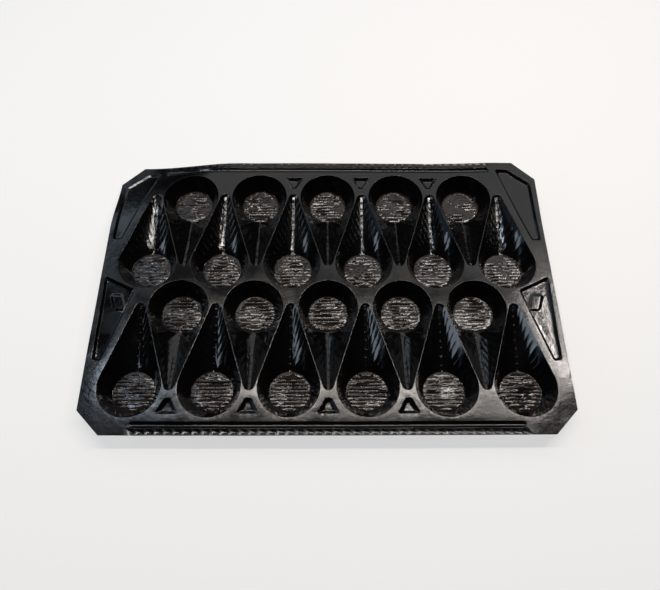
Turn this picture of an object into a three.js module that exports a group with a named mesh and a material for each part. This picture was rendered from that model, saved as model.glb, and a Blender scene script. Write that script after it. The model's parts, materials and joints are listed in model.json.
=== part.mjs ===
// A fruit packing tray: one thin black plastic sheet, formed into 22 pear-shaped cups that lie head
// to tail, with a flat land between them and a flange around them.
//
// The sheet is a single height field. Every point of its upper face is an (x, y) place in plan and a
// depth below the land, and the lower face is the same surface one sheet thickness further down.
// Origin: underside of the cups, in the middle of the plan. X right, Y away from the viewer, Z up.

import * as THREE from "three";

// ---- Driving dimensions, in millimetres and degrees --------------------------------------------

const TRAY_LENGTH = 570; // along X, to drop into a 600 x 400 fruit carton
const TRAY_WIDTH = 380; // along Y
const SHEET = 0.5; // thickness of the formed sheet
const CUP_DEPTH = 23; // from the land down to the inside of a cup's floor
const CORNER_CUT = 28; // taken off each corner, along X and along Y

const CUP_PITCH = 92; // from cup to cup along a row
const CUPS_TIP_FRONT = 5; // cups of a band whose bulb is at the rear
const CUPS_TIP_REAR = 6; // cups of a band whose bulb is at the front
const BULB_ROWS = { rearUp: 132.7, rearDown: 31.3, frontUp: -31.3, frontDown: -132.7 }; // Y of bulbs

const BULB_RADIUS = 36.6; // rim of the wide end
const TIP_RADIUS = 6.3; // rim of the narrow end
const TIP_REACH = 99.8; // from the bulb's centre to the tip's centre
const FLOOR_RADIUS = 24.8; // flat round floor under the bulb
const KEEL_HALF_WIDTH = 2.6; // groove from the floor up to the tip
const KEEL_END_DEPTH = 5; // depth of the groove where it meets the tip
const KEEL_END_INSET = 3; // from the rim of the tip to the end of the groove
const WALL_BELLY = { inward: 0.4, down: 0.56 }; // one break in the wall, as parts of the way down

const CHANNEL = { halfLength: 221, middle: 178, width: 6, depth: 2.6, wall: 2 }; // stiffening groove
const WEDGE = { base: 26, point: 7, height: 18, from: 147, depth: 4, wall: 3, corner: 2.5 };
const PANEL = { depth: 3.4, wall: 3.6, corner: 3 }; // shallow recesses in the two end flanges
const FLANGE_BOW = 0.8; // by which the middle of each outer edge stands out past its ends

// How far each corner of the flange has crept off the flat: left and right are -1 and 1 along X,
// front and rear are -1 and 1 along Y.
const CORNER_CREEP = [
  { side: -1, end: 1, rise: -13 },
  { side: 1, end: 1, rise: 3.5 },
  { side: 1, end: -1, rise: 4.5 },
];
const CREEP_STARTS = 1.42; // of 2, which is the full corner before it is cut
const CREEP_SPAN = 0.46;

// ---- Detail: points along one half of a cup's rim ----------------------------------------------

const BULB_STEPS = 7;
const SIDE_STEPS = 5;
const TIP_STEPS = 2;
const SIDE_BOW = 0.3; // by which the middle of a tapering side stands out
const FLANGE_STEP = 26; // longest stretch of the outer edge between two points
const CHANNEL_STEPS = 8; // stretches along a channel

// ---- Worked out from the above -----------------------------------------------------------------

const LAND = CUP_DEPTH + SHEET; // upper face of the land
const HALF_LENGTH = TRAY_LENGTH / 2;
const HALF_WIDTH = TRAY_WIDTH / 2;
const SIDE_LEAN = Math.asin((BULB_RADIUS - TIP_RADIUS) / TIP_REACH); // of a straight side, from Y
const lerp = THREE.MathUtils.lerp;
const smoothstep = THREE.MathUtils.smoothstep;

const onCircle = (radius, angle, y = 0) => ({
  x: radius * Math.cos(angle),
  y: y + radius * Math.sin(angle),
});

// ---- Outlines, as lists of { x, y } ------------------------------------------------------------

// The flange's outer edge: a rectangle with its corners cut, its long sides in short steps.
function flangeEdge() {
  const corners = [];
  for (const [sx, sy] of [[1, -1], [1, 1], [-1, 1], [-1, -1]]) {
    const alongX = { x: sx * (HALF_LENGTH - CORNER_CUT), y: sy * HALF_WIDTH };
    const alongY = { x: sx * HALF_LENGTH, y: sy * (HALF_WIDTH - CORNER_CUT) };
    corners.push(...(sx === sy ? [alongY, alongX] : [alongX, alongY]));
  }
  return inSteps(corners, FLANGE_STEP).map(bowed);
}

// A place on the flange, drawn in towards the ends of the tray's four sides.
function bowed({ x, y }) {
  return {
    x: x - Math.sign(x) * FLANGE_BOW * (y / HALF_WIDTH) ** 2,
    y: y - Math.sign(y) * FLANGE_BOW * (x / HALF_LENGTH) ** 2,
  };
}

// The same closed outline with more points on its long edges.
function inSteps(points, longest) {
  return points.flatMap((from, i) => {
    const to = points[(i + 1) % points.length];
    const pieces = Math.ceil(Math.hypot(to.x - from.x, to.y - from.y) / longest);
    return Array.from({ length: pieces }, (_, k) => ({
      x: lerp(from.x, to.x, k / pieces),
      y: lerp(from.y, to.y, k / pieces),
    }));
  });
}

// The same convex outline with each corner replaced by two points.
function cornersCut(points, cut) {
  return points.flatMap((here, i) => {
    const before = points[(i + points.length - 1) % points.length];
    const after = points[(i + 1) % points.length];
    return [before, after].map((other) => {
      const part = cut / Math.hypot(other.x - here.x, other.y - here.y);
      return { x: lerp(here.x, other.x, part), y: lerp(here.y, other.y, part) };
    });
  });
}

// A convex outline moved inwards: each point goes to where its two moved edges meet.
function movedIn(points, distance) {
  const turn = Math.sign(signedArea(points));
  return points.map((here, i) => {
    const before = points[(i + points.length - 1) % points.length];
    const after = points[(i + 1) % points.length];
    const first = new THREE.Vector2(here.x - before.x, here.y - before.y).normalize();
    const second = new THREE.Vector2(after.x - here.x, after.y - here.y).normalize();
    const across = new THREE.Vector2(-first.y - second.y, first.x + second.x).normalize();
    const stretch = across.x * -first.y + across.y * first.x;
    across.multiplyScalar((turn * distance) / stretch);
    return { x: here.x + across.x, y: here.y + across.y };
  });
}

function signedArea(points) {
  return points.reduce((sum, here, i) => {
    const next = points[(i + 1) % points.length];
    return sum + (here.x * next.y - next.x * here.y) / 2;
  }, 0);
}

const mirroredX = (points) => points.map(({ x, y }) => ({ x: -x, y })).reverse();

// ---- Hollows: rings of { x, y, depth }, from the land down to the floor ------------------------

// A place on a cup's tapering side: 0 where it leaves the bulb, 1 where it meets the tip.
function onSideLine(along) {
  const start = onCircle(BULB_RADIUS, SIDE_LEAN);
  const end = onCircle(TIP_RADIUS, SIDE_LEAN, TIP_REACH);
  const bow = 4 * SIDE_BOW * along * (1 - along);
  return { x: lerp(start.x, end.x, along) + bow, y: lerp(start.y, end.y, along) };
}

// One half of a cup, its bulb at the origin and its tip towards +Y: pairs of a point on the rim and
// the point of the floor or keel that the wall runs down to.
function cupStations() {
  const stations = [];
  for (let k = 0; k <= BULB_STEPS; k += 1) {
    const angle = lerp(-Math.PI / 2, SIDE_LEAN, k / BULB_STEPS);
    stations.push({
      rim: onCircle(BULB_RADIUS, angle),
      foot: { ...onCircle(FLOOR_RADIUS, angle), depth: CUP_DEPTH },
    });
  }
  const keelStart = Math.acos(KEEL_HALF_WIDTH / FLOOR_RADIUS); // where the keel leaves the floor
  const floorSteps = 2; // side stations whose wall still runs down to the round floor
  const keelFrom = onCircle(FLOOR_RADIUS, keelStart).y;
  const keelTo = TIP_REACH + TIP_RADIUS - KEEL_END_INSET;
  const keelSteps = SIDE_STEPS - floorSteps + TIP_STEPS;
  for (let k = 1; k <= SIDE_STEPS + TIP_STEPS; k += 1) {
    const onSide = k <= SIDE_STEPS;
    const tipAngle = lerp(SIDE_LEAN, Math.PI / 2, (k - SIDE_STEPS) / TIP_STEPS);
    const rim = onSide ? onSideLine(k / SIDE_STEPS) : onCircle(TIP_RADIUS, tipAngle, TIP_REACH);
    if (k <= floorSteps) {
      const angle = lerp(SIDE_LEAN, keelStart, k / floorSteps);
      stations.push({ rim, foot: { ...onCircle(FLOOR_RADIUS, angle), depth: CUP_DEPTH } });
    } else {
      const along = (k - floorSteps) / keelSteps;
      const halfWidth = k === SIDE_STEPS + TIP_STEPS ? 0 : lerp(KEEL_HALF_WIDTH, 2, along ** 2);
      const depth = lerp(CUP_DEPTH, KEEL_END_DEPTH, along);
      stations.push({ rim, foot: { x: halfWidth, y: lerp(keelFrom, keelTo, along), depth } });
    }
  }
  stations[0].rim.x = 0;
  stations[0].foot.x = 0;
  stations.at(-1).rim.x = 0;
  return stations;
}

// A pear-shaped cup at (x, y), its tip towards +Y (facing 1) or -Y (facing -1).
function cup(x, y, facing) {
  const half = cupStations();
  const ringAt = (inward, down) => {
    const right = half.map(({ rim, foot }) => ({
      x: lerp(rim.x, foot.x, inward),
      y: lerp(rim.y, foot.y, inward),
      depth: foot.depth * down,
    }));
    const left = right.slice(1, -1).reverse().map((p) => ({ ...p, x: -p.x }));
    return [...right, ...left].map((p) => ({
      x: x + facing * p.x,
      y: y + facing * p.y,
      depth: p.depth,
    }));
  };
  return {
    rings: [ringAt(0, 0), ringAt(WALL_BELLY.inward, WALL_BELLY.down), ringAt(1, 1)],
    floor: rungs(half.length),
  };
}

// Floor triangles between mirrored points of a ring, like the rungs of a ladder.
function rungs(count) {
  const ring = 2 * count - 2;
  const triangles = [];
  for (let i = 0; i < count - 1; i += 1) {
    const left = (ring - i) % ring;
    const nextLeft = (ring - i - 1) % ring;
    if (i > 0) triangles.push([i, i + 1, left]);
    if (i < count - 2) triangles.push([left, i + 1, nextLeft]);
  }
  return triangles;
}

// A shallow flat-floored recess with sloping walls.
function recess(outline, { depth, wall, corner }) {
  const land = cornersCut(outline, corner);
  const floor = cornersCut(movedIn(outline, wall), corner / 3).map((p) => ({ ...p, depth }));
  return { rings: [land, floor], floor: THREE.ShapeUtils.triangulateShape(flat(floor), []) };
}

const flat = (ring) => ring.map(({ x, y }) => new THREE.Vector2(x, y));

function cups() {
  const row = (count, y, facing) =>
    Array.from({ length: count }, (_, i) => cup((i - (count - 1) / 2) * CUP_PITCH, y, facing));
  return [
    ...row(CUPS_TIP_FRONT, BULB_ROWS.rearUp, -1),
    ...row(CUPS_TIP_REAR, BULB_ROWS.rearDown, 1),
    ...row(CUPS_TIP_FRONT, BULB_ROWS.frontUp, -1),
    ...row(CUPS_TIP_REAR, BULB_ROWS.frontDown, 1),
  ];
}

// The long round-ended grooves that stiffen the front and rear edges.
function channels() {
  const steps = Array.from({ length: CHANNEL_STEPS + 1 }, (_, k) => k / CHANNEL_STEPS);
  return [-1, 1].map((end) => {
    const ringAt = (inset, depth) => {
      const reach = CHANNEL.halfLength - inset;
      const half = CHANNEL.width / 2 - inset;
      const outline = [
        ...steps.map((k) => ({ x: lerp(-reach, reach, k), y: end * (CHANNEL.middle - half) })),
        { x: reach + half, y: end * CHANNEL.middle },
        ...steps.map((k) => ({ x: lerp(reach, -reach, k), y: end * (CHANNEL.middle + half) })),
        { x: -reach - half, y: end * CHANNEL.middle },
      ];
      return outline.map(bowed).map((p) => ({ ...p, depth }));
    };
    const floorRing = ringAt(CHANNEL.wall, CHANNEL.depth);
    const floor = THREE.ShapeUtils.triangulateShape(flat(floorRing), []);
    return { rings: [ringAt(0, 0), floorRing], floor };
  });
}

// The small wedge-shaped recesses between the bulbs of the outermost rows.
function wedges() {
  const wedge = (x, end) => {
    const [tip, back] = [end * WEDGE.from, end * (WEDGE.from + WEDGE.height)];
    const outline = [
      { x: x - WEDGE.base / 2, y: back },
      { x: x + WEDGE.base / 2, y: back },
      { x: x + WEDGE.point / 2, y: tip },
      { x: x - WEDGE.point / 2, y: tip },
    ];
    return recess(outline, WEDGE);
  };
  return [
    ...[-2, -1, 0, 1].map((place) => wedge(place * CUP_PITCH, -1)),
    ...[-0.5, 0.5, 1.5].map((place) => wedge(place * CUP_PITCH, 1)),
  ];
}

// The recesses in the left and right flanges, beside the tapering sides of the end cups.
function panels() {
  const corner = [
    { x: 231.8, y: 178 },
    { x: 248.6, y: 178 },
    { x: 277.2, y: 154.2 },
    { x: 279.3, y: 65.5 },
    { x: 267.4, y: 65.5 },
  ];
  const middle = [
    { x: 239.6, y: -8 },
    { x: 275.2, y: 9.2 },
    { x: 279.8, y: 5 },
    { x: 278, y: -100 },
    { x: 268, y: -102.3 },
  ];
  return [corner, middle]
    .flatMap((outline) => [outline, mirroredX(outline)])
    .map((outline) => recess(outline, PANEL));
}

// ---- The sheet ---------------------------------------------------------------------------------

// How far the sheet has crept up or down at a place in plan.
function creep(x, y) {
  return CORNER_CREEP.reduce((sum, { side, end, rise }) => {
    const corner = (side * x) / HALF_LENGTH + (end * y) / HALF_WIDTH;
    return sum + rise * smoothstep(corner, CREEP_STARTS, CREEP_STARTS + CREEP_SPAN);
  }, 0);
}

// The upper face: its vertices, its triangles facing up, and the vertices of its outer edge.
function upperFace() {
  const edge = flangeEdge();
  const hollows = [...cups(), ...channels(), ...wedges(), ...panels()];
  const vertices = [];
  const triangles = [];

  const add = (ring) =>
    ring.map(({ x, y, depth = 0 }) => {
      const share = 1 - depth / CUP_DEPTH; // the cup floors stay flat and level
      vertices.push(new THREE.Vector3(x, y, LAND - depth + share * creep(x, y)));
      return vertices.length - 1;
    });
  const face = (a, b, c) => {
    const [p, q, r] = [a, b, c].map((i) => vertices[i]);
    const area = (q.x - p.x) * (r.y - p.y) - (r.x - p.x) * (q.y - p.y);
    triangles.push(area > 0 ? [a, b, c] : [a, c, b]);
  };
  const quad = (a, b, c, d) => {
    const across = vertices[a].distanceTo(vertices[c]) < vertices[b].distanceTo(vertices[d]);
    if (across) {
      face(a, b, c);
      face(a, c, d);
    } else {
      face(a, b, d);
      face(b, c, d);
    }
  };

  const outer = add(edge);
  const rims = hollows.map(({ rings }) => add(rings[0]));
  const land = [outer, ...rims].flat();
  const holes = hollows.map(({ rings }) => flat(rings[0]));
  THREE.ShapeUtils.triangulateShape(flat(edge), holes).forEach(([a, b, c]) => {
    face(land[a], land[b], land[c]);
  });

  hollows.forEach(({ rings, floor }, h) => {
    let upper = rims[h];
    for (const ring of rings.slice(1)) {
      const lower = add(ring);
      upper.forEach((a, i) => {
        const next = (i + 1) % upper.length;
        quad(a, upper[next], lower[next], lower[i]);
      });
      upper = lower;
    }
    floor.forEach(([a, b, c]) => face(upper[a], upper[b], upper[c]));
  });
  return { vertices, triangles, outer };
}

// The closed solid: the upper face, the same face one thickness down, and the cut edge between them.
function sheetGeometry() {
  const { vertices, triangles, outer } = upperFace();
  const below = vertices.length;
  const positions = [
    ...vertices.flatMap(({ x, y, z }) => [x, y, z]),
    ...vertices.flatMap(({ x, y, z }) => [x, y, z - SHEET]),
  ];
  const index = triangles.flatMap(([a, b, c]) => [a, b, c, below + c, below + b, below + a]);
  outer.forEach((a, i) => {
    const b = outer[(i + 1) % outer.length];
    index.push(below + a, below + b, b, below + a, b, a);
  });
  const geometry = new THREE.BufferGeometry();
  geometry.setAttribute("position", new THREE.Float32BufferAttribute(positions, 3));
  geometry.setIndex(index);
  geometry.computeVertexNormals();
  return geometry;
}

function blackSheet() {
  return new THREE.MeshStandardMaterial({ color: 0x17181a, roughness: 0.28, metalness: 0 });
}

const tray = new THREE.Mesh(sheetGeometry(), blackSheet());
tray.name = "tray";

const model = new THREE.Group();
model.add(tray);

export default model;
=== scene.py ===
# %% [markdown]
# # A formed tray for pears
#
# The real tray starts as one flat sheet of black plastic. It is warmed until it is soft, pulled down
# over a mould by a vacuum, and trimmed round its edge. So it is one skin all over: the cups, the land
# between them and the flange are the same sheet, shiny where it hung free and finely marked where it
# touched the mould. We model it the same way: one cup, repeated, stitched into one sheet, and given
# its thickness near the end.

# %% Load the frame
import json
from math import asin, cos, degrees, exp, hypot, pi, radians, sin

import bmesh
import bpy
from mathutils import Matrix, Vector, noise
from mathutils.bvhtree import BVHTree
from mathutils.geometry import delaunay_2d_cdt
from mathutils.kdtree import KDTree


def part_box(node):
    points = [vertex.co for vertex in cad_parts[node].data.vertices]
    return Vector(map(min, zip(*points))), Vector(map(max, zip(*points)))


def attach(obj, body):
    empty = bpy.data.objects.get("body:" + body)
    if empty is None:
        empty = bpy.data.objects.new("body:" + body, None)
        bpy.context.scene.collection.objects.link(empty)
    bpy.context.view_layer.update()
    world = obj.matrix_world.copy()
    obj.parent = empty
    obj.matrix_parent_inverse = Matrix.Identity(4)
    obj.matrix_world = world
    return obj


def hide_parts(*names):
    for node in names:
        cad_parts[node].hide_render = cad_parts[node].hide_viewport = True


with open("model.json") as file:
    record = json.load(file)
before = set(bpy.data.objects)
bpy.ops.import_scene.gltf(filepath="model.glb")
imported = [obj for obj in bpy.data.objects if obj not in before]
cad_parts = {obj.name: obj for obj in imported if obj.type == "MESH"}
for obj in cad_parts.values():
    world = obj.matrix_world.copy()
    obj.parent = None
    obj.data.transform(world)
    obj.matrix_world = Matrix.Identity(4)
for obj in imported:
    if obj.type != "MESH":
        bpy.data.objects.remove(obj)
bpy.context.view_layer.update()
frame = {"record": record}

low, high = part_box("tray")
print("the tray's box, metres:", [round(v, 4) for v in (*low, *high)])

# %% [markdown]
# ## Sizes
#
# Everything is in metres. The tray's box is read from the frame, and so is the place of each cup: the
# record states the free space in every cup as a box, whose middle is the middle of the cup's round end.
# The few sizes below, the tray's outline among them, are the mould's own.

# %% Driving dimensions
MM = 0.001
SHEET = 0.5 * MM  # thickness
CUP_DEPTH = 23 * MM  # from the land down to the inside of a cup's floor
LAND = CUP_DEPTH + SHEET  # height of the land's upper face
BULB_RADIUS = 36.6 * MM  # rim of a cup's round end
TIP_RADIUS = 6.3 * MM  # rim of its narrow end
TIP_REACH = 99.8 * MM  # from the middle of the round end to the middle of the tip
FLOOR_RADIUS = 24.8 * MM  # flat round floor
KEEL_END_HALF = 1.5 * MM  # half the width of the keel where it meets the tip
KEEL_END_DEPTH = 3.8 * MM  # its depth there
KEEL_END_INSET = 1.7 * MM  # how far inside the tip's rim it ends
HALF_LENGTH = 285 * MM  # of the whole sheet in plan
HALF_WIDTH = 190 * MM
CORNER_CUT = 28 * MM  # length cut from both sides of each corner
HAIR = 0.001 * MM  # less than any real step, for telling places apart


def cups_from_record():
    """(x, y, facing) of each cup: facing is 1 where the tip points to the rear, -1 to the front."""
    found = []
    for opening in frame["record"]["physics"]["openings"]:
        (x0, y0, _), (x1, y1, _) = opening["box_m"]
        facing = 1 if "down" in opening["name"] else -1
        found.append(((x0 + x1) / 2, (y0 + y1) / 2, facing))
    return found


CUPS = cups_from_record()
print(len(CUPS), "cups")

# %% [markdown]
# ## Small helpers for edit mode
#
# An operator acts on whatever is selected, so each step starts by clearing the selection and picking
# vertices, edges or faces by a test on their place.


# %% Selecting by place
def editing():
    """The mesh that is open in edit mode."""
    return bmesh.from_edit_mesh(bpy.context.edit_object.data)


def pick(kind, test):
    """Selects the vertices, edges or faces that pass a test, and nothing else."""
    bpy.ops.mesh.select_mode(type=kind)
    bpy.ops.mesh.select_all(action="DESELECT")
    mesh = editing()
    for item in {"VERT": mesh.verts, "EDGE": mesh.edges, "FACE": mesh.faces}[kind]:
        if test(item):
            item.select_set(True)
    mesh.select_flush_mode()
    bmesh.update_edit_mesh(bpy.context.edit_object.data)


def edit_alone(thing):
    """Opens one object in edit mode."""
    bpy.ops.object.select_all(action="DESELECT")
    thing.select_set(True)
    bpy.context.view_layer.objects.active = thing
    bpy.ops.object.mode_set(mode="EDIT")


def leave_edit():
    """Closes edit mode."""
    bpy.ops.object.mode_set(mode="OBJECT")


print("the selecting helpers are ready")


# %% [markdown]
# ## One cup: its two outlines
#
# Seen from above, a cup's rim is a big circle and a small circle with two straight sides between
# them. We add both circles, cut away the arcs that face each other and join the loose ends. The
# floor is a circle too, with a narrow keel that climbs from it to the tip. Both outlines get the
# same number of points, so that a wall can be bridged between them with one spoke for each point.

# %% The rim
ARC_POINTS = 60  # points of a full circle, six degrees apart
TIP_POINTS = 20
SIDE_ANGLE = radians(18)  # where the straight sides leave both circles
SIDE_PIECES = 20


def loose_end(side, below):
    """A test for the open end of an outline on one side, below a height."""
    return lambda v: len(v.link_edges) == 1 and v.co.x * side > 0 and v.co.z < below


bpy.ops.object.select_all(action="DESELECT")
bpy.ops.mesh.primitive_circle_add(vertices=ARC_POINTS, radius=BULB_RADIUS, location=(0, 0, LAND))
cup = bpy.context.object
cup.name = "cup"
bpy.ops.object.transform_apply(location=True)
edit_alone(cup)
pick("VERT", lambda v: v.co.y > BULB_RADIUS * sin(SIDE_ANGLE) + HAIR)
bpy.ops.mesh.delete(type="VERT")
bpy.ops.mesh.primitive_circle_add(vertices=TIP_POINTS, radius=TIP_RADIUS, location=(0, TIP_REACH, LAND))
tip_opens = TIP_REACH + TIP_RADIUS * sin(SIDE_ANGLE)
pick("VERT", lambda v: TIP_REACH - 2 * TIP_RADIUS < v.co.y < tip_opens - HAIR)
bpy.ops.mesh.delete(type="VERT")
for side in (-1, 1):
    pick("VERT", loose_end(side, below=2 * LAND))
    bpy.ops.mesh.edge_face_add()
    bpy.ops.mesh.subdivide(number_cuts=SIDE_PIECES - 1)
rim_points = len(editing().verts)
print("the rim has", rim_points, "points")

# %% [markdown]
# The floor's circle is thinned until one spoke ends at each of its points, closer together near the
# keel, where the wall turns most. Then the two loose ends are extruded up to the tip, each side is
# cut into short pieces, and a small nose joins them.

# %% The floor and the keel
FLOOR_ANGLES = [*range(-90, 24, 6), 27, 36, 45, 54, 63, 69, 75, 81, 87]  # a spoke ends at each
KEEL_PIECES = 14
NOSE = 1 * MM  # the keel ends in a small rounded nose
keel_reach = TIP_REACH + TIP_RADIUS - KEEL_END_INSET - NOSE
keel_end = Vector((KEEL_END_HALF, keel_reach, LAND - KEEL_END_DEPTH))

bpy.ops.mesh.primitive_circle_add(vertices=2 * ARC_POINTS, radius=FLOOR_RADIUS, location=(0, 0, SHEET))
pick("VERT", lambda v: v.co.z < LAND / 2 and v.co.y > FLOOR_RADIUS - HAIR)
bpy.ops.mesh.delete(type="VERT")


def floor_angle(v):
    """How far round the floor a point is, in degrees: -90 at the back, 90 under the keel."""
    return degrees(asin(max(-1, min(1, v.co.y / FLOOR_RADIUS))))


pick("VERT", lambda v: v.co.z < LAND / 2 and all(abs(floor_angle(v) - a) > 1 for a in FLOOR_ANGLES))
bpy.ops.mesh.dissolve_verts()
for side in (-1, 1):
    pick("VERT", loose_end(side, below=LAND / 2))
    start = next(v.co.copy() for v in editing().verts if v.select)
    stop = Vector((side * keel_end.x, keel_end.y, keel_end.z))
    bpy.ops.mesh.extrude_vertices_move(TRANSFORM_OT_translate={"value": stop - start})
    pick("EDGE", lambda e: e.calc_length() > FLOOR_RADIUS and e.verts[0].co.x * side > 0)
    bpy.ops.mesh.subdivide(number_cuts=KEEL_PIECES - 1)
pick("VERT", loose_end(1, below=LAND - HAIR))
bpy.ops.mesh.extrude_vertices_move(TRANSFORM_OT_translate={"value": (-KEEL_END_HALF, NOSE, 0)})
pick("VERT", lambda v: len(v.link_edges) == 1)
bpy.ops.mesh.edge_face_add()
print("the floor and keel have", len(editing().verts) - rim_points, "points")

# %% [markdown]
# ## One cup: the wall
#
# Bridge joins the two outlines with spokes and cuts them into rings. That gives straight walls, and
# a sheet that was sucked into a mould has bellied ones, steeper near the rim and flatter near the
# floor. So each spoke is then walked from the rim down, and its points are slid onto a curve.

# %% Bridge and belly
WALL_CUTS = 7
BELLY = 0.27  # 0 is a straight wall

bpy.ops.mesh.select_mode(type="EDGE")
bpy.ops.mesh.select_all(action="SELECT")
bpy.ops.mesh.bridge_edge_loops(type="CLOSED", number_cuts=WALL_CUTS, interpolation="LINEAR")
bpy.ops.mesh.select_all(action="SELECT")
bpy.ops.mesh.normals_make_consistent(inside=True)  # the side that the fruit lies on is the front


def spokes(mesh):
    """Each spoke of the wall, as its vertices from the rim down to the floor."""
    found = []
    for top in [v for v in mesh.verts if abs(v.co.z - LAND) < HAIR]:
        edge = next(e for e in top.link_edges if not e.is_boundary)
        spoke = [top, edge.other_vert(top)]
        while len(spoke) < WALL_CUTS + 2:
            beside = set(edge.link_faces)
            edge = next(e for e in spoke[-1].link_edges if not beside & set(e.link_faces))
            spoke.append(edge.other_vert(spoke[-1]))
        found.append(spoke)
    return found


mesh = editing()
wall = spokes(mesh)
for spoke in wall:
    top, foot = spoke[0].co.copy(), spoke[-1].co.copy()
    for k, v in enumerate(spoke):
        t = k / (WALL_CUTS + 1)
        inward = t * (1 - BELLY * (1 - t))
        down = t * (1 + BELLY * (1 - t))
        v.co = top.lerp(foot, inward)
        v.co.z = top.z + (foot.z - top.z) * down
bmesh.update_edit_mesh(cup.data)
print("the wall has", len(wall), "spokes")

# %% [markdown]
# ## One cup: the ribs
#
# The tapering walls carry a herringbone of thin ribs, which keep the fruit's neck from sticking. The
# spokes already lean towards the tip as they rise, and so do the ribs, so every second spoke becomes
# one. A bevel splits its edges into three lines close together, and Shrink/Fatten lifts the middle
# one along its normals. Where the rib runs over the rim, it nicks it.

# %% Ribs and nicks
RIB_HALF = 0.6 * MM  # half the width of a rib
RIB_HEIGHT = 0.27 * MM
NICK = 0.35 * MM


def side_step(v):
    """Which step of a tapering side a rim point is on, counted from the bulb, or None."""
    start = BULB_RADIUS * sin(SIDE_ANGLE)
    length = TIP_REACH + TIP_RADIUS * sin(SIDE_ANGLE) - start
    step = round((v.co.y - start) / length * SIDE_PIECES)
    return step if 0 < step < SIDE_PIECES else None


rib_edges, rib_lines = set(), []
for spoke in wall:
    step = side_step(spoke[0])
    if step is not None and step % 2:
        rib_lines.append([v.co.copy() for v in spoke])
        for upper, lower in zip(spoke[:-2], spoke[1:]):
            rib_edges.add(next(e.index for e in upper.link_edges if e.other_vert(upper) is lower))
pick("EDGE", lambda e: e.index in rib_edges)
bpy.ops.mesh.bevel(offset=RIB_HALF, segments=2, affect="EDGES")


def on_rib(ring):
    """A test for the middle points of all ribs on one ring of the wall."""
    return lambda v: any((v.co - line[ring]).length < RIB_HALF / 2 for line in rib_lines)


for ring in range(1, WALL_CUTS):
    pick("VERT", on_rib(ring))
    bpy.ops.transform.shrink_fatten(value=RIB_HEIGHT)
pick("VERT", on_rib(0))
bpy.ops.transform.translate(value=(0, 0, -NICK))
print(len(rib_lines), "ribs")

# %% [markdown]
# ## One cup: the keel and the floor
#
# The keel is the narrow groove in which the fruit's neck lies. Its two sides are bridged across, with
# one row of points along its middle, and the small nose at its end is filled with one face.

# %% Fill the keel
bpy.ops.mesh.select_all(action="DESELECT")
keel_start = FLOOR_RADIUS * sin(radians(FLOOR_ANGLES[-1]))
pick(
    "EDGE",
    lambda e: e.is_boundary
    and all(v.co.z < LAND - HAIR and v.co.y > keel_start - HAIR for v in e.verts)
    and all(abs(v.co.x) > MM for v in e.verts),
)
bpy.ops.mesh.bridge_edge_loops(number_cuts=1, interpolation="LINEAR")


def at_nose(e):
    """Whether an edge is one of the open ones round the keel's nose."""
    return e.is_boundary and all(v.co.y > keel_end.y - HAIR and v.co.z < LAND - MM for v in e.verts)


pick("EDGE", at_nose)
bpy.ops.mesh.edge_face_add()
print("the keel has", KEEL_PIECES, "pieces along it")

# %% [markdown]
# A straight keel would give one even highlight. The real one is bent down into a shallow curve and
# has short steps across it, which break the highlight into dashes. So the keel's points are moved
# down by a smooth rule, its middle row a little more than its sides, and every second point of that
# row stands up again.

# %% Bend the keel
KEEL_CURVE = 0.65 * MM  # by which the middle of the keel hangs below a straight line
KEEL_SAG = 0.15 * MM  # by which its middle row hangs below its sides
KEEL_STEP = 0.25 * MM
KEEL_STEP_PIECES = 2


def in_keel_middle(v):
    """Whether a point is in the keel's middle row."""
    in_length = keel_start - HAIR < v.co.y < keel_end.y + HAIR
    return in_length and abs(v.co.x) < HAIR and v.co.z < keel_end.z + HAIR


def keel_station(v):
    """Which piece of the keel a point is at, counted from the floor."""
    return round((v.co.y - keel_start) / (keel_end.y - keel_start) * KEEL_PIECES)


def in_keel(v):
    """Whether a point is on the straight keel, between its ends."""
    along = (v.co.y - keel_start) / (keel_end.y - keel_start)
    height = SHEET + (keel_end.z - SHEET) * along
    return HAIR < along < 1 - HAIR and abs(v.co.z - height) < HAIR and abs(v.co.x) < KEEL_END_HALF


for station in range(1, KEEL_PIECES):
    along = station / KEEL_PIECES
    pick("VERT", lambda v: in_keel(v) and keel_station(v) == station)
    bpy.ops.transform.translate(value=(0, 0, -4 * KEEL_CURVE * along * (1 - along)))
for station in range(1, KEEL_PIECES + 1):
    pick("VERT", lambda v: in_keel_middle(v) and keel_station(v) == station)
    step = KEEL_STEP if station % KEEL_STEP_PIECES == 0 else 0
    bpy.ops.transform.translate(value=(0, 0, step - KEEL_SAG * min(1, station / KEEL_STEP_PIECES)))
print("the keel is bent by", KEEL_CURVE / MM, "mm")

# %% [markdown]
# The round floor starts as one face. Bisect slices it both ways, three rows of points to a stripe, so
# that it can be wrinkled later.

# %% Fill and slice the floor
STRIPE_PITCH = 4.3 * MM
STRIPE_ROWS = 3  # rows of points to a stripe
FLOOR_COLUMNS = 13

pick("EDGE", lambda e: e.is_boundary and all(v.co.z < SHEET + HAIR for v in e.verts))
bpy.ops.mesh.edge_face_add()


def slice_floor(level, across, places):
    """Cuts the flat floor at one level by upright planes that stand across one axis."""
    for place in places:
        pick("FACE", lambda f: all(abs(v.co.z - level) < HAIR for v in f.verts))
        bpy.ops.mesh.bisect(plane_co=Vector(across) * place, plane_no=across)


def spread(middle, half, count):
    """Evenly spaced places, the outer ones half a step inside both ends."""
    return [middle + half * ((2 * k + 1) / count - 1) for k in range(count)]


floor_rows = int(2 * FLOOR_RADIUS / STRIPE_PITCH * STRIPE_ROWS)
slice_floor(SHEET, (0, 1, 0), spread(0, FLOOR_RADIUS, floor_rows))
slice_floor(SHEET, (1, 0, 0), spread(0, FLOOR_RADIUS, FLOOR_COLUMNS))
bpy.ops.mesh.select_all(action="SELECT")
bpy.ops.mesh.normals_make_consistent(inside=True)
print("one cup:", len(editing().faces), "faces")
leave_edit()

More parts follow.
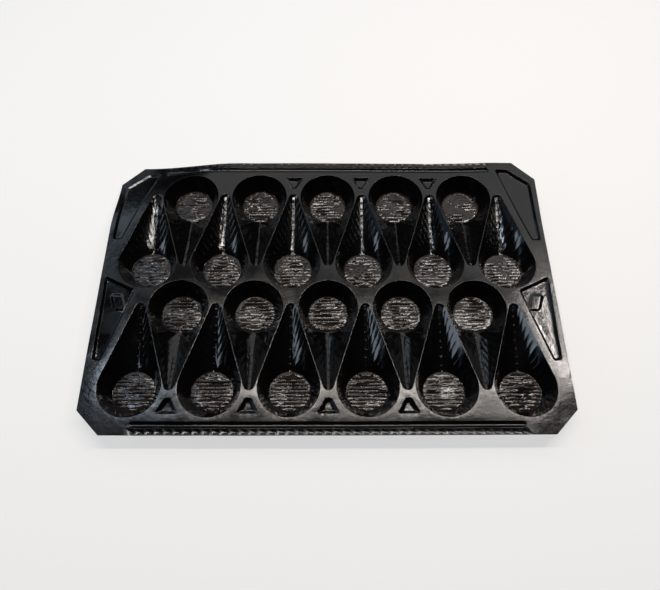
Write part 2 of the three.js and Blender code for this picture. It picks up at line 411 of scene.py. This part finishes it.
# %% [markdown]
# ## One cup: its rounded rim
#
# Plastic film doesn't fold sharply over the edge of a mould. The wall's top ring is lowered a little,
# and two short steps are extruded up and out from it. Each step is first extruded straight up, so
# that its normals lie level and Shrink/Fatten pushes it outwards by the same amount all round.

# %% Round the rim
RIM_STEPS = [(0.33 * MM, 0.2 * MM), (0.12 * MM, 0.35 * MM)]  # (up, out) of each step
RIM_DROP = sum(up for up, _ in RIM_STEPS)


def round_rim():
    """Gives the open edge of the mesh in edit mode a rounded rim that ends level with the land."""
    pick("EDGE", lambda e: e.is_boundary)
    bpy.ops.transform.translate(value=(0, 0, -RIM_DROP))
    for up, out in RIM_STEPS:
        pick("EDGE", lambda e: e.is_boundary)
        bpy.ops.mesh.extrude_edges_move(TRANSFORM_OT_translate={"value": (0, 0, up)})
        bpy.ops.transform.shrink_fatten(value=-out)
    bpy.ops.transform.resize(value=(1, 1, 0), center_override=(0, 0, LAND))


edit_alone(cup)
round_rim()
leave_edit()
print("one finished cup:", len(cup.data.polygons), "faces")

# %% [markdown]
# ## Twenty-two cups
#
# On the real mould the cups are one pattern too, set down 22 times. An Array modifier would need
# four rows and a turn for half of them, and the record already states each place. So the cup is
# copied to every one, each copy with its own mesh, and turned half round where its tip points to the
# front.

# %% Copy the cup
cups = []
for x, y, facing in CUPS:
    bpy.ops.object.select_all(action="DESELECT")
    cup.select_set(True)
    bpy.context.view_layer.objects.active = cup
    bpy.ops.object.duplicate(linked=False)
    placed = bpy.context.object
    placed.location = (x, y, 0)
    placed.rotation_euler.z = 0 if facing > 0 else pi
    bpy.ops.object.transform_apply()
    cups.append(placed)
bpy.data.objects.remove(cup)
print(len(cups), "cups in place")

# %% [markdown]
# ## The shallow recesses
#
# Round the cups the mould has shallow recesses that stiffen the flange: a long channel at the front
# and the rear, wedges between the outer bulbs, and four panels in the ends. The sizes below are read
# off the photo. The panels' corners are given for the right end, in millimetres.

# %% Sizes of the recesses
CHANNEL = {
    "half_length": 221 * MM,
    "middle": 178 * MM,  # from the middle of the tray
    "width": 7 * MM,
    "depth": 1.9 * MM,
    "wall": 2.3 * MM,  # how far the wall slopes inwards
    "foot": 0.9 * MM,  # the bevel at the wall's foot
}
CHANNEL_PIECES = 48
WEDGE = {
    "base": 26 * MM,
    "point": 7 * MM,
    "height": 18 * MM,
    "from": 147 * MM,
    "depth": 3.6 * MM,
    "wall": 3.8 * MM,
    "foot": 0.6 * MM,
    "corner": 2.5 * MM,
}
PANEL = {"depth": 3.4 * MM, "wall": 2.9 * MM, "corner": 2.1 * MM, "foot": 0.7 * MM}
CORNER_PANEL = [(231.8, 178), (248.6, 178), (277.2, 154.2), (279.3, 65.5), (267.4, 65.5)]
MIDDLE_PANEL = [(239.6, -8), (279.6, 11.2), (278, -100), (268, -102.3)]
CUP_PITCH = 92 * MM
LONG_SIDE = 20 * MM  # a recess's side longer than this is cut into pieces
LONG_SIDE_CUTS = 7
FLANGE_BOW = 0.8 * MM  # the middle of each outer edge stands out past its ends


def bowed(x, y):
    """A place on the flange, drawn in towards the ends of the tray's four sides."""
    side, end = (1 if v > 0 else -1 for v in (x, y))
    drawn_in = side * FLANGE_BOW * (y / HALF_WIDTH) ** 2
    return x - drawn_in, y - end * FLANGE_BOW * (x / HALF_LENGTH) ** 2


print(2 * (WEDGE["from"] + WEDGE["height"]) / MM, "mm between the backs of the front and rear wedges")

# %% [markdown]
# Every recess is made alike. It starts as one flat face of the right outline, which is inset
# downwards. The corners are rounded afterwards, by a bevel of the edges that run down them, because
# an inset would turn small round corners inside out. A second bevel rounds the foot of the wall.

# %% How a recess is made
def recess(name, outline, depth, wall, foot, corner=0):
    """A recess whose rim has the given outline, left in edit mode."""
    bpy.ops.object.select_all(action="DESELECT")
    bpy.ops.mesh.primitive_circle_add(vertices=len(outline), radius=10 * MM, fill_type="NGON")
    thing = bpy.context.object
    thing.name = name
    for v, (x, y) in zip(thing.data.vertices, outline):
        v.co = (x, y, LAND)
    thing.data.update()
    faces_down = thing.data.polygons[0].normal.z < 0
    edit_alone(thing)
    bpy.ops.mesh.select_all(action="SELECT")
    if faces_down:
        bpy.ops.mesh.flip_normals()
    bpy.ops.mesh.inset(thickness=wall, depth=-depth, use_even_offset=True)
    if corner:
        pick("EDGE", lambda e: abs(e.verts[0].co.z - e.verts[1].co.z) > depth / 2)
        bpy.ops.mesh.bevel(offset=corner, segments=3, affect="EDGES", clamp_overlap=True)
    pick("FACE", lambda f: all(v.co.z < LAND - depth + HAIR for v in f.verts))
    bpy.ops.mesh.region_to_loop()
    bpy.ops.mesh.bevel(offset=foot, segments=3, affect="EDGES")
    pick("EDGE", lambda e: e.calc_length() > LONG_SIDE)
    if any(e.select for e in editing().edges):
        bpy.ops.mesh.subdivide(number_cuts=LONG_SIDE_CUTS)
    pick("FACE", lambda f: len(f.verts) > 4)
    bpy.ops.mesh.quads_convert_to_tris(quad_method="BEAUTY", ngon_method="BEAUTY")
    round_rim()
    return thing


print("ready to make recesses")

# %% [markdown]
# A long channel keeps each long edge of a thin tray from bending. Both are long ovals that follow
# the slight bow of the flange, with points all along, so that they can bend with the sheet later.

# %% The channels
recesses = []
for end in (-1, 1):
    reach, half = CHANNEL["half_length"], CHANNEL["width"] / 2
    turns = [radians(30 * k) for k in range(-3, 4)]
    right = [(reach + half * cos(a), half * sin(a)) for a in turns]
    left = [(-x, -y) for x, y in right]
    along = [reach * (2 * k / CHANNEL_PIECES - 1) for k in range(1, CHANNEL_PIECES)]
    outline = [*right, *((-x, half) for x in along), *left, *((x, -half) for x in along)]
    outline = [bowed(x, y + end * CHANNEL["middle"]) for x, y in outline]
    channel = recess("channel", outline, CHANNEL["depth"], CHANNEL["wall"], CHANNEL["foot"])
    recesses.append(channel)
    leave_edit()
print(len(recesses), "channels")

# %% [markdown]
# The wedges stiffen the land where it is widest, between the round ends of the outermost cups. There
# are four at the front and three at the rear, with their points towards the middle of the tray, and
# none at the right end of the front.

# %% The wedges
wedge_sizes = [WEDGE[size] for size in ("depth", "wall", "foot", "corner")]
for end, places in ((-1, (-2, -1, 0, 1)), (1, (-0.5, 0.5, 1.5))):
    for place in places:
        x, tip, back = place * CUP_PITCH, end * WEDGE["from"], end * (WEDGE["from"] + WEDGE["height"])
        base, point = WEDGE["base"] / 2, WEDGE["point"] / 2
        outline = [(x - base, back), (x + base, back), (x + point, tip), (x - point, tip)]
        recesses.append(recess("wedge", outline, *wedge_sizes))
        leave_edit()
print(len(recesses), "recesses so far")

# %% [markdown]
# The panels fill the corners at the rear and the ends between the two bands of cups. In each middle
# panel stands a plain rounded pad: the panel's floor is sliced finely there and its points are
# lifted by a smooth rule.

# %% The panels and their pads
PAD = {
    "x": 259 * MM,
    "y": -24 * MM,
    "half_width": 7.5 * MM,
    "half_length": 11 * MM,
    "corner": 3.5 * MM,
    "height": 1.1 * MM,
    "slope": 1.6 * MM,  # width of its sloping side
    "slant": 0.35,  # how much it leans, as the panel does
}


def pad_height(x, y):
    """Height of the plain raised pad in a middle panel, at a place in plan."""
    y -= PAD["y"]
    x = abs(x) - PAD["x"] - PAD["slant"] * y
    out_x = max(0, abs(x) - PAD["half_width"] + PAD["corner"])
    out_y = max(0, abs(y) - PAD["half_length"] + PAD["corner"])
    return PAD["height"] * min(1, max(0, (PAD["corner"] - hypot(out_x, out_y)) / PAD["slope"]))


for outline in (CORNER_PANEL, MIDDLE_PANEL):
    for side in (-1, 1):
        mirrored = [(side * x * MM, y * MM) for x, y in outline]
        recesses.append(recess("panel", mirrored, **PANEL))
        if outline is MIDDLE_PANEL:
            level = LAND - PANEL["depth"]
            slice_floor(level, (1, 0, 0), spread(side * PAD["x"], 15 * MM, 20))
            slice_floor(level, (0, 1, 0), spread(PAD["y"], 14 * MM, 18))
            for v in editing().verts:
                if abs(v.co.z - level) < HAIR:
                    v.co.z += pad_height(v.co.x, v.co.y)
        leave_edit()
print(len(recesses), "recesses")

# %% [markdown]
# ## One sheet
#
# The cups and the recesses are joined into one object. The outline of the tray is a plane with its
# corners cut off by a vertex bevel. Only its edge is kept, cut into short pieces.

# %% Join the hollows and add the outline
PIECE = 9 * MM  # length of a piece of the tray's edge, and the mesh width of the land

bpy.ops.object.select_all(action="DESELECT")
for thing in (*cups, *recesses):
    thing.select_set(True)
tray = cups[0]
bpy.context.view_layer.objects.active = tray
bpy.ops.object.join()
tray.name = "formed_sheet"
tray.data.name = "formed_sheet"
edit_alone(tray)
bpy.ops.mesh.select_all(action="DESELECT")
bpy.ops.mesh.primitive_plane_add(size=1, location=(0, 0, LAND))
bpy.ops.transform.resize(value=(2 * HALF_LENGTH, 2 * HALF_WIDTH, 1), center_override=(0, 0, LAND))
bpy.ops.mesh.bevel(offset=CORNER_CUT, segments=1, affect="VERTICES")
bpy.ops.mesh.delete(type="ONLY_FACE")
pick("EDGE", lambda e: e.is_wire)
for edge_length in sorted({round(e.calc_length(), 3) for e in editing().edges if e.is_wire}):
    pick("EDGE", lambda e: e.is_wire and abs(e.calc_length() - edge_length) < MM)
    bpy.ops.mesh.subdivide(number_cuts=int(edge_length / PIECE))
mesh = editing()
outline = [v for v in mesh.verts if any(e.is_wire for e in v.link_edges)]
for v in outline:
    v.co.x, v.co.y = bowed(v.co.x, v.co.y)
print("the tray's edge has", len(outline), "points")

# %% [markdown]
# The land is what is left of the flat sheet round 35 hollows. Fill can close it from the selected
# edges, but it leaves long thin triangles that crease when the sheet bends. So the flat is laid out
# in code. First we need to know whether a place in plan is land, and how far the nearest edge is.

# %% Where the land is
CORNER_LIMIT = 1.86  # of the two shares of half a side, which add up to 2 at an uncut corner

hollows = BVHTree.FromBMesh(mesh)
edge_points = [v for v in mesh.verts if any(e.is_boundary or e.is_wire for e in v.link_edges)]
finder = KDTree(len(edge_points))
for i, v in enumerate(edge_points):
    finder.insert((v.co.x, v.co.y, 0), i)
finder.balance()


def over_hollow(x, y):
    """Whether a place in plan lies over a cup or a recess."""
    return hollows.ray_cast(Vector((x, y, 1)), Vector((0, 0, -1)))[0] is not None


def is_free(x, y, clear):
    """Whether a place is on the land, and not too near its edges."""
    corner = abs(x) / HALF_LENGTH + abs(y) / HALF_WIDTH
    inside = abs(x) < HALF_LENGTH and abs(y) < HALF_WIDTH and corner < CORNER_LIMIT
    return inside and finder.find((x, y, 0))[2] > clear and not over_hollow(x, y)


print("the land has", len(edge_points), "points on its edges")

# %% [markdown]
# Then a net of points is spread over the land, in rows of equal triangles. The two strips that will
# be knurled, along the front and rear edges, get their own denser rows.

# %% Lay out the land
STRIP = {
    "half_length": 220 * MM,
    "from": 183 * MM,
    "to": 188.5 * MM,
    "pitch": 10.5 * MM,  # of its knurls
    "depth": 1.2 * MM,
    "rows": 4,  # of points across it
}
POINTS_PER_KNURL = 5
CLEAR = 3.5 * MM  # a point of the net keeps this far from every rim
STRIP_CLEAR = 0.4 * MM  # and this far in a strip

net = []
row_gap = PIECE * sin(radians(60))
for row in range(int(2 * HALF_WIDTH / row_gap) + 1):
    y = row * row_gap - HALF_WIDTH
    for column in range(int(2 * HALF_LENGTH / PIECE) + 1):
        x = (column + row % 2 / 2) * PIECE - HALF_LENGTH
        in_strip = abs(y) > STRIP["from"] - MM and abs(x) < STRIP["half_length"] + MM
        if not in_strip and is_free(x, y, CLEAR):
            net.append((x, y))
steps = int(2 * STRIP["half_length"] / STRIP["pitch"] * POINTS_PER_KNURL)
for end in (-1, 1):
    for row in range(STRIP["rows"]):
        y = end * (STRIP["from"] + (STRIP["to"] - STRIP["from"]) * row / (STRIP["rows"] - 1))
        for k in range(steps + 1):
            x = STRIP["half_length"] * (2 * k / steps - 1)
            if is_free(x, y, STRIP_CLEAR):
                net.append((x, y))
print("the net of the land has", len(net), "points")

# %% [markdown]
# Then the net is joined into even triangles (Delaunay) that keep every rim and the tray's edge as
# they are. A triangle over a hollow is left out. Only the tray's own edge stays open.

# %% Fill in the land
order = {v: i for i, v in enumerate(edge_points)}
kept_edges = [[order[v] for v in e.verts] for e in mesh.edges if e.is_boundary or e.is_wire]
places = [v.co.xy for v in edge_points] + [Vector(place) for place in net]
spots, _, triangles, origins, _, _ = delaunay_2d_cdt(places, kept_edges, [], 0, HAIR)
corners = []
for spot, sources in zip(spots, origins):
    known = [i for i in sources if i < len(edge_points)]
    corners.append(edge_points[known[0]] if known else mesh.verts.new((*spot, LAND)))
land = []
for triangle in triangles:
    middle = sum((spots[i] for i in triangle), Vector((0, 0))) / 3
    if not over_hollow(*middle):
        land.append(mesh.faces.new([corners[i] for i in triangle]))
bmesh.update_edit_mesh(tray.data)
bpy.ops.mesh.select_all(action="SELECT")
bpy.ops.mesh.normals_make_consistent(inside=False)
print(len(land), "triangles of land,", sum(e.is_boundary for e in mesh.edges), "open edges left")

# %% [markdown]
# ## What the mould and the years left on the sheet
#
# The flat parts of a real tray aren't flat. The cup floors carry wavy stripes where the film touched a
# rough mould, more or less crumpled from place to place. A bump in the material would be quicker, but
# it would not be in the mesh. So the wrinkles are a height that depends on the place in plan: a wave
# along Y, swayed and weakened by soft noise, and some noise of its own.

# %% The shape of the wrinkles
STRIPE_HEIGHT = 0.9 * MM
STRIPE_SWAY = 1.6 * MM
SWAY_SIZE = 9 * MM
PATCH_SIZE = 16 * MM  # of the places where the stripes are strong or weak
CRUMPLE = 0.6 * MM
CRUMPLE_SIZE = 5 * MM


def ripple(x, y):
    """Height of a cup floor's wrinkles at a place in plan."""
    sway = noise.noise(Vector((x, y, 0)) / SWAY_SIZE) * STRIPE_SWAY
    stripe = 0.5 + 0.5 * cos(2 * pi * (y + sway) / STRIPE_PITCH)
    patchy = 0.8 + 0.9 * noise.noise(Vector((x, y, 5)) / PATCH_SIZE)
    crumple = abs(noise.noise(Vector((x, y, 9)) / CRUMPLE_SIZE))
    return STRIPE_HEIGHT * stripe ** 2 * max(0.3, min(1, patchy)) + CRUMPLE * crumple


print("a wrinkle is at most", round((STRIPE_HEIGHT + CRUMPLE) / MM, 1), "mm high")

# %% [markdown]
# A few floors have been knocked from below. Each knock is a long soft bump, turned its own way.

# %% The shape of the knocks
DENTS = [  # (x, y, direction, half length, half width, height) of knocks in three of the floors
    (231 * MM, -129 * MM, 25, 9 * MM, 5.5 * MM, 3.2 * MM),
    (222 * MM, -146 * MM, -50, 9 * MM, 2.5 * MM, 2.2 * MM),
    (-183 * MM, 135 * MM, 62, 7 * MM, 2 * MM, 1.8 * MM),
    (-130 * MM, -118 * MM, 15, 5 * MM, 2.5 * MM, 1.8 * MM),
]


def dented(x, y):
    """Height of the knocks at a place in plan."""
    total = 0
    for dent_x, dent_y, direction, length, width, height in DENTS:
        turn = Matrix.Rotation(radians(-direction), 2)
        along, across = turn @ Vector((x - dent_x, y - dent_y))
        total += height * exp(-(along / length) ** 2 - (across / width) ** 2)
    return total


print(len(DENTS), "knocks")

# %% [markdown]
# Every point of a floor is now lifted by the sum of both. They fade out in a shallow groove round the
# floor. Before that each point of the sheet gets two attributes for the material: how far it was
# drawn down into the mould, and whether it is in the middle of a keel.

# %% Wrinkle the floors
FLOOR_STEP = 0.35 * MM  # the round floor stands a little above the groove round it
GROOVE = 0.07  # width of that groove, as a share of the floor's radius


def nearest_cup(x, y):
    """The cup whose round end is nearest to a place in plan."""
    return min(CUPS, key=lambda c: hypot(x - c[0], y - c[1]))


mesh = editing()
drawn = mesh.verts.layers.float.new("drawn")
keel = mesh.verts.layers.float.new("keel")
for v in mesh.verts:
    v[drawn] = min(1, max(0, (LAND - v.co.z) / CUP_DEPTH))
    in_middle = [(v.co.y - cy) * facing for cx, cy, facing in CUPS if abs(v.co.x - cx) < HAIR]
    v[keel] = v.co.z < LAND - MM and any(keel_start < along < keel_end.y for along in in_middle)
floor = [v for v in mesh.verts if v.co.z < SHEET + HAIR]
for v in floor:
    cx, cy, _ = nearest_cup(v.co.x, v.co.y)
    edge = 1 - hypot(v.co.x - cx, v.co.y - cy) / FLOOR_RADIUS
    height = FLOOR_STEP + ripple(v.co.x, v.co.y) + dented(v.co.x, v.co.y)
    v.co.z += height * min(1, edge / GROOVE)
print(len(floor), "points of floor wrinkled")

# %% [markdown]
# The strips between the channels and the outer edge are knurled: a row of short waves across, which
# stiffens the edge and keeps stacked trays from sticking together. They are shallower at the sides
# of the strip.

# %% Knurl the strips
for v in mesh.verts:
    across = (abs(v.co.y) - STRIP["from"]) / (STRIP["to"] - STRIP["from"])
    if abs(v.co.x) < STRIP["half_length"] and -0.05 < across < 1.05:
        wave = 0.5 + 0.5 * cos(2 * pi * v.co.x / STRIP["pitch"])
        v.co.z -= STRIP["depth"] * wave * sin(pi * (0.15 + 0.7 * across))
print(int(2 * STRIP["half_length"] / STRIP["pitch"]), "knurls in each strip")

# %% [markdown]
# A thin tray that has been handled and stacked doesn't stay level. The rear left corner of this one
# hangs and the rear right one stands up a little, and the whole sheet is slightly wavy. The cup
# floors stay level, as the tray stands on them.

# %% Let it creep
CORNER_CREEP = [  # (side, end, rise, where it starts and ends out of 2, which is the uncut corner)
    (-1, 1, -13 * MM, 1.42, 1.88),
    (1, 1, 3.5 * MM, 1.42, 1.88),
]
WAVE = 0.5 * MM
WAVE_SIZE = 45 * MM


def creep(x, y):
    """How far the sheet has crept off the flat at a place in plan."""
    total = 0
    for side, end, rise, start, stop in CORNER_CREEP:
        t = (side * x / HALF_LENGTH + end * y / HALF_WIDTH - start) / (stop - start)
        t = min(1, max(0, t))
        total += rise * t * t * (3 - 2 * t)
    return total


for v in mesh.verts:
    share = min(1, max(0, (v.co.z - SHEET) / CUP_DEPTH))  # the cup floors stay flat and level
    wave = WAVE * noise.noise(Vector((v.co.x, v.co.y, 2)) / WAVE_SIZE)
    v.co.z = min(high.z, v.co.z + share * (creep(v.co.x, v.co.y) + wave))
bmesh.update_edit_mesh(tray.data)
leave_edit()
print("the sheet has crept at", len(CORNER_CREEP), "corners")

# %% [markdown]
# ## Thickness
#
# Solidify gives the sheet its half millimetre on the side away from the fruit. It is applied, so that
# every picture and every export has the same mesh. Shading is smooth up to 32 degrees. The weighted
# normals let the large faces decide how a small bevel beside them is shaded, so that the flat land
# stays flat up to its rounded rims.

# %% Thicken and shade
solid = tray.modifiers.new("thickness", "SOLIDIFY")
solid.thickness = SHEET
solid.offset = -1
bpy.ops.object.modifier_apply(modifier=solid.name)
for v in tray.data.vertices:
    for i in range(3):
        v.co[i] = min(high[i], max(low[i], v.co[i]))
bpy.ops.object.shade_smooth_by_angle(angle=radians(32))
even = tray.modifiers.new("large faces first", "WEIGHTED_NORMAL")
even.keep_sharp = True
bpy.ops.object.modifier_apply(modifier=even.name)
tray.data.calc_loop_triangles()
print("the sheet has", len(tray.data.loop_triangles), "triangles")

# %% [markdown]
# The formed sheet is the whole tray. Nothing on it moves, so it rides on the one body there is, and
# it takes the place of the CAD model's plain solid.

# %% The sheet takes the place of the plain one
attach(tray, "root")
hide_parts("tray")
print("the tray is now", tray.name)

# %% [markdown]
# ## The black plastic
#
# Black film has almost no colour of its own: nearly all that the eye gets from it is a reflection, so
# its finish is a matter of roughness and bump. The land touched the mould and is satin, the walls hung
# free and are glossy, and the floors are crumpled, with a brownish tint painted into their colour as a
# painted reflection of warm light. The sheet carries an attribute that says how far each point was
# drawn down, 0 on the land and 1 on a floor, and the material mixes its three finishes by it.

# %% The material and what it reads
RANGE_SOCKETS = ("From Min", "From Max", "To Min", "To Max")

black = bpy.data.materials.new("black_sheet")
black.use_nodes = True
nodes, links = black.node_tree.nodes, black.node_tree.links
shader = nodes["Principled BSDF"]
shader.inputs["IOR"].default_value = 1.59
on_sheet = nodes.new("ShaderNodeTexCoord").outputs["Object"]


def attribute(name):
    """A value that the mesh carries at each point."""
    node = nodes.new("ShaderNodeAttribute")
    node.attribute_name = name
    return node.outputs["Fac"]


def ramp(source, low_in, high_in, low_out=0, high_out=1):
    """A value that follows a source smoothly from one number to another."""
    node = nodes.new("ShaderNodeMapRange")
    node.interpolation_type = "SMOOTHSTEP"
    links.new(source, node.inputs["Value"])
    for socket, value in zip(RANGE_SOCKETS, (low_in, high_in, low_out, high_out)):
        node.inputs[socket].default_value = value
    return node.outputs["Result"]


print("the material reads the place on the sheet and its attributes")

# %% [markdown]
# Three more helpers add a soft noise, a sum or product, and a mix of two colours. Noise in object
# coordinates sticks to the sheet, whatever the camera sees.

# %% Noise, sums and mixes
def grain(size, detail=2):
    """Soft noise on the sheet, its lumps about as big as the given size."""
    node = nodes.new("ShaderNodeTexNoise")
    node.inputs["Scale"].default_value = 1 / size
    node.inputs["Detail"].default_value = detail
    node.inputs["Roughness"].default_value = 0.5
    links.new(on_sheet, node.inputs["Vector"])
    return node.outputs["Fac"]


def sums(kind, a, b):
    """Two values added, multiplied and so on."""
    node = nodes.new("ShaderNodeMath")
    node.operation = kind
    for socket, value in zip(node.inputs, (a, b)):
        if isinstance(value, (int, float)):
            socket.default_value = value
        else:
            links.new(value, socket)
    return node.outputs["Value"]


def mixed(amount, from_color, to_color):
    """A colour between two others."""
    node = nodes.new("ShaderNodeMix")
    node.data_type = "RGBA"
    node.inputs["A"].default_value = (*from_color, 1)
    node.inputs["B"].default_value = (*to_color, 1)
    links.new(amount, node.inputs["Factor"])
    return node.outputs["Result"]


print("the node helpers are ready")

# %% [markdown]
# The plastic is nearly black. The floors get a brownish tint painted into their colour, a painted
# reflection of warm light, stronger in some places than in others. The walls are the most glossy.

# %% Colour and gloss
drawn_down = attribute("drawn")
on_land = ramp(drawn_down, 0.015, 0.0)
on_floor = ramp(drawn_down, 0.975, 1.0)
# painted reflection: the brownish tint on the floors stands in for the warm light they reflect, and is
# stronger in some places than in others
painted_warm_reflection = sums("MULTIPLY", on_floor, ramp(grain(14 * MM), 0.35, 0.6, 0.3, 1))
links.new(mixed(painted_warm_reflection, (0.003, 0.003, 0.0034), (0.03, 0.02, 0.0155)), shader.inputs["Base Color"])

patchy = ramp(grain(30 * MM, 3), 0.35, 0.65, -0.04, 0.05)
finish = sums("ADD", 0.12, sums("MULTIPLY", on_land, 0.08))
finish = sums("ADD", finish, sums("MULTIPLY", on_floor, 0.03))
links.new(sums("ADD", finish, patchy), shader.inputs["Roughness"])
print("colour and gloss are set")

# %% [markdown]
# What is too fine to model is left to the bump: small creases in the floors, the satin of the land
# and notches across the middle of the keels. Wave bands across Y make the notches.

# %% Fine relief
NOTCH_PITCH = 9.5 * MM

creases = sums("MULTIPLY", on_floor, sums("MULTIPLY", grain(4.5 * MM, 1.5), 0.6))
satin = sums("MULTIPLY", grain(7 * MM), 0.25)
bands = nodes.new("ShaderNodeTexWave")
bands.bands_direction = "Y"
bands.inputs["Scale"].default_value = 2 * pi / 20 / NOTCH_PITCH
bands.inputs["Distortion"].default_value = 3
bands.inputs["Detail"].default_value = 2
bands.inputs["Detail Scale"].default_value = 2
links.new(on_sheet, bands.inputs["Vector"])
notches = sums("MULTIPLY", ramp(bands.outputs["Fac"], 0.86, 1), attribute("keel"))
creases = sums("ADD", creases, notches)
bump = nodes.new("ShaderNodeBump")
bump.inputs["Strength"].default_value = 1
bump.inputs["Distance"].default_value = 0.6 * MM
links.new(sums("ADD", creases, satin), bump.inputs["Height"])
links.new(bump.outputs["Normal"], shader.inputs["Normal"])
tray.data.materials.clear()
tray.data.materials.append(black)
print("the sheet's material has", len(nodes), "nodes")

# %% [markdown]
# ## The studio
#
# The tray stands on a plain pale floor, which is one big plane. Lamps strong enough to make it white
# would drown the black sheet in reflections, so the floor glows a little by itself instead.

# %% Floor of the studio
bpy.ops.object.select_all(action="DESELECT")
bpy.ops.mesh.primitive_plane_add(size=14)
ground = bpy.context.object
ground.name = "studio_floor"
pale = bpy.data.materials.new("pale_floor")
pale.use_nodes = True
pale_inputs = pale.node_tree.nodes["Principled BSDF"].inputs
pale_inputs["Base Color"].default_value = (0.5, 0.48, 0.45, 1)
pale_inputs["Roughness"].default_value = 0.9
pale_inputs["Emission Color"].default_value = (1, 1, 1, 1)
pale_inputs["Emission Strength"].default_value = 0.62
ground.data.materials.append(pale)
print("the studio floor is in place")

# %% [markdown]
# The camera stands where the photo was taken from: in front of the tray, looking down steeply. Its
# place, turn and focal length come from the tray's corners and the cups' floors in the photo.

# %% Camera
CAMERA_PLACE = (-0.0079, -0.3483, 0.6909)
CAMERA_TURN = Matrix((
    (0.99990297, -0.00097403, -0.01389635),
    (-0.00533292, 0.89479514, -0.44644509),
    (0.01286924, 0.44647588, 0.89470312),
))

bpy.ops.object.camera_add()
camera = bpy.context.object
camera.matrix_world = Matrix.Translation(CAMERA_PLACE) @ CAMERA_TURN.to_4x4()
camera.data.sensor_width = 36
camera.data.lens = 32.73
bpy.context.scene.camera = camera
print("the camera's lens is", camera.data.lens, "mm")

# %% [markdown]
# Black plastic shows the lamps rather than its own shade. Point lamps would leave only specks on it,
# so these are rectangles, each with the shape of the reflection it has to make. A long narrow one
# high behind the tray draws bright lines on the keels and on the stripes of the floors, and a small
# one makes the gleam on the front right flange. Wide faint panels give the land its grey, and bluish
# ones at the left light up the right-hand walls of the cups.

# %% Lights
bpy.context.scene.view_settings.view_transform = "Standard"


def softbox(name, place, size, glow, color, turn=None):
    """A rectangular area light. It faces the tray, or straight down where a turn is given."""
    bpy.ops.object.light_add(type="AREA", location=place)
    lamp = bpy.context.object
    lamp.name = name
    facing = Vector(place).to_track_quat("Z", "Y").to_euler()
    lamp.rotation_euler = facing if turn is None else (0, 0, radians(turn))
    lamp.data.shape = "RECTANGLE"
    lamp.data.size, lamp.data.size_y = size
    lamp.data.energy = glow * 4 * size[0] * size[1]  # a larger lamp of the same glow gives more
    lamp.data.color = color


softbox("lamp_row", (0.14, 0.29, 1.22), (1.18, 0.08), 17, (1, 0.94, 0.88), turn=-1)
softbox("side_lamp", (0.8, 0.43, 1.22), (0.05, 0.3), 42, (1, 0.92, 0.87), turn=0)
softbox("rear_panel", (0.25, 1.1, 1.15), (1.9, 0.85), 0.57, (1, 1, 1))
softbox("rear_left_panel", (-1.05, 0.95, 1.1), (0.7, 0.8), 0.9, (0.7, 0.84, 1))
softbox("row_end", (-0.61, 0.28, 1.22), (0.18, 0.08), 11, (0.72, 0.84, 1), turn=0)
softbox("left_window", (-1.2, -0.04, 0.48), (0.34, 0.56), 2.2, (0.72, 0.84, 1))
softbox("left_fill", (-1.45, 0.15, 0.32), (1.6, 0.6), 0.2, (0.5, 0.7, 1))
print(len(bpy.data.lights), "lamps")

# %% [markdown]
# The rest of the room is the world's background. A bright one would turn the black walls grey, so it
# is dim, and only a little lighter overhead.

# %% Room
world = bpy.data.worlds.new("soft_room")
bpy.context.scene.world = world
world.use_nodes = True
sky, back = world.node_tree.nodes, world.node_tree.nodes["Background"]
direction = sky.new("ShaderNodeTexCoord")
parts = sky.new("ShaderNodeSeparateXYZ")
level = sky.new("ShaderNodeMapRange")
world.node_tree.links.new(direction.outputs["Generated"], parts.inputs["Vector"])
world.node_tree.links.new(parts.outputs["Z"], level.inputs["Value"])
world.node_tree.links.new(level.outputs["Result"], back.inputs["Strength"])
for socket, value in zip(RANGE_SOCKETS, (0.35, 0.8, 0.03, 0.13)):
    level.inputs[socket].default_value = value
print("the room's light is set")
